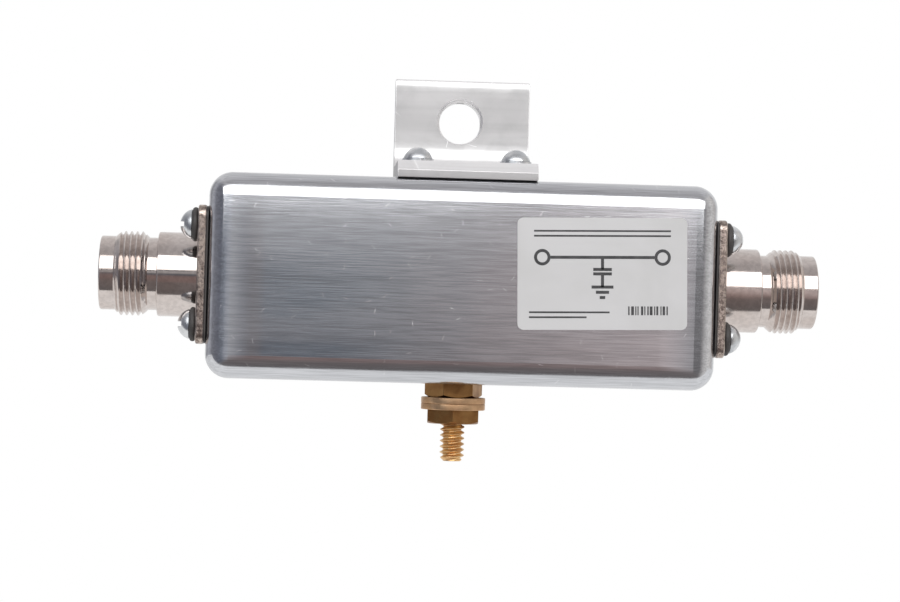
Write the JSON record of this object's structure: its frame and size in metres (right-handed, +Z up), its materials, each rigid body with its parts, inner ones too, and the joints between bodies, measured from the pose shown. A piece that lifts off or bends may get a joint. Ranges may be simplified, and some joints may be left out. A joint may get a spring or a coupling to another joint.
{
  "type": "coaxial surge protector",
  "caption": "Small cast box with a threaded coaxial jack on each end, a wall bracket on top and a brass earth terminal below.",
  "frame": {"origin": "centre of the bracket's wall-fixing hole, in the wall plane at the back of the bracket and the rear cover", "axes": "+X along the coaxial line towards the right jack, -Y out of the labelled front face, +Z up through the bracket"},
  "size_m": [0.1334, 0.0312, 0.0724],
  "materials": {
    "box_aluminium": "brushed and lightly scratched, bright rounded edges",
    "bracket_aluminium": "satin extruded finish",
    "nickel_plate": "bright nickel plate with a warm tone",
    "zinc_plate": "bright zinc plate",
    "black_rubber": "matte",
    "ptfe": "waxy white",
    "gold_plate": "thin gold plate",
    "bolt_brass": "bright cut thread",
    "nut_brass": "aged brass",
    "washer_brass": "copper-toned brass",
    "tinned_copper": "tinned",
    "board_laminate": "green solder mask",
    "bare_copper": "copper",
    "white_ceramic": "glazed edge",
    "brown_ceramic": "matte",
    "label_film": "matte printed film"
  },
  "bodies": {
    "box_assembly": {"housing": "box_aluminium", "rear_cover": "box_aluminium", "cover_gasket": "black_rubber", "cover_screws": "zinc_plate", "mounting_bracket": "bracket_aluminium", "bracket_screws": "zinc_plate", "bracket_lock_washers": "zinc_plate", "bracket_nuts": "zinc_plate", "left_jack_body": "nickel_plate", "left_insulator": "ptfe", "left_centre_contact": "gold_plate", "left_flange_gasket": "black_rubber", "left_flange_screws": "zinc_plate", "left_sealing_washers": "black_rubber", "right_jack_body": "nickel_plate", "right_insulator": "ptfe", "right_centre_contact": "gold_plate", "right_flange_gasket": "black_rubber", "right_flange_screws": "zinc_plate", "right_sealing_washers": "black_rubber", "earth_bolt": "bolt_brass", "earth_strap": "tinned_copper", "earth_fixing_nut": "nut_brass", "earth_upper_washer": "washer_brass", "circuit_board": "board_laminate", "signal_tracks": "bare_copper", "earth_track": "bare_copper", "board_screws": "zinc_plate", "gas_tube_ceramic": "white_ceramic", "gas_tube_electrodes": "tinned_copper", "coupling_capacitor": "brown_ceramic", "drain_coil": "bare_copper", "front_label": "label_film"},
    "clamp_washer": {"earth_lower_washer": "washer_brass"},
    "clamp_nut": {"earth_clamp_nut": "nut_brass"}
  },
  "joints": [
    {"name": "washer_slide", "type": "slide", "parent": "box_assembly", "child": "clamp_washer", "axis": [0, 0, -1], "range_m": [0, 0.00529]},
    {"name": "clamp_nut_turn", "type": "hinge", "parent": "clamp_washer", "child": "clamp_nut", "pos_m": [-0.0005, -0.0155, -0.0559], "axis": [0, 0, -1], "range_deg": [0, 1800]}
  ],
  "couplings": [
    {"joint": "clamp_nut_turn", "follows": "washer_slide", "rad_per_m": 5936.9}
  ]
}
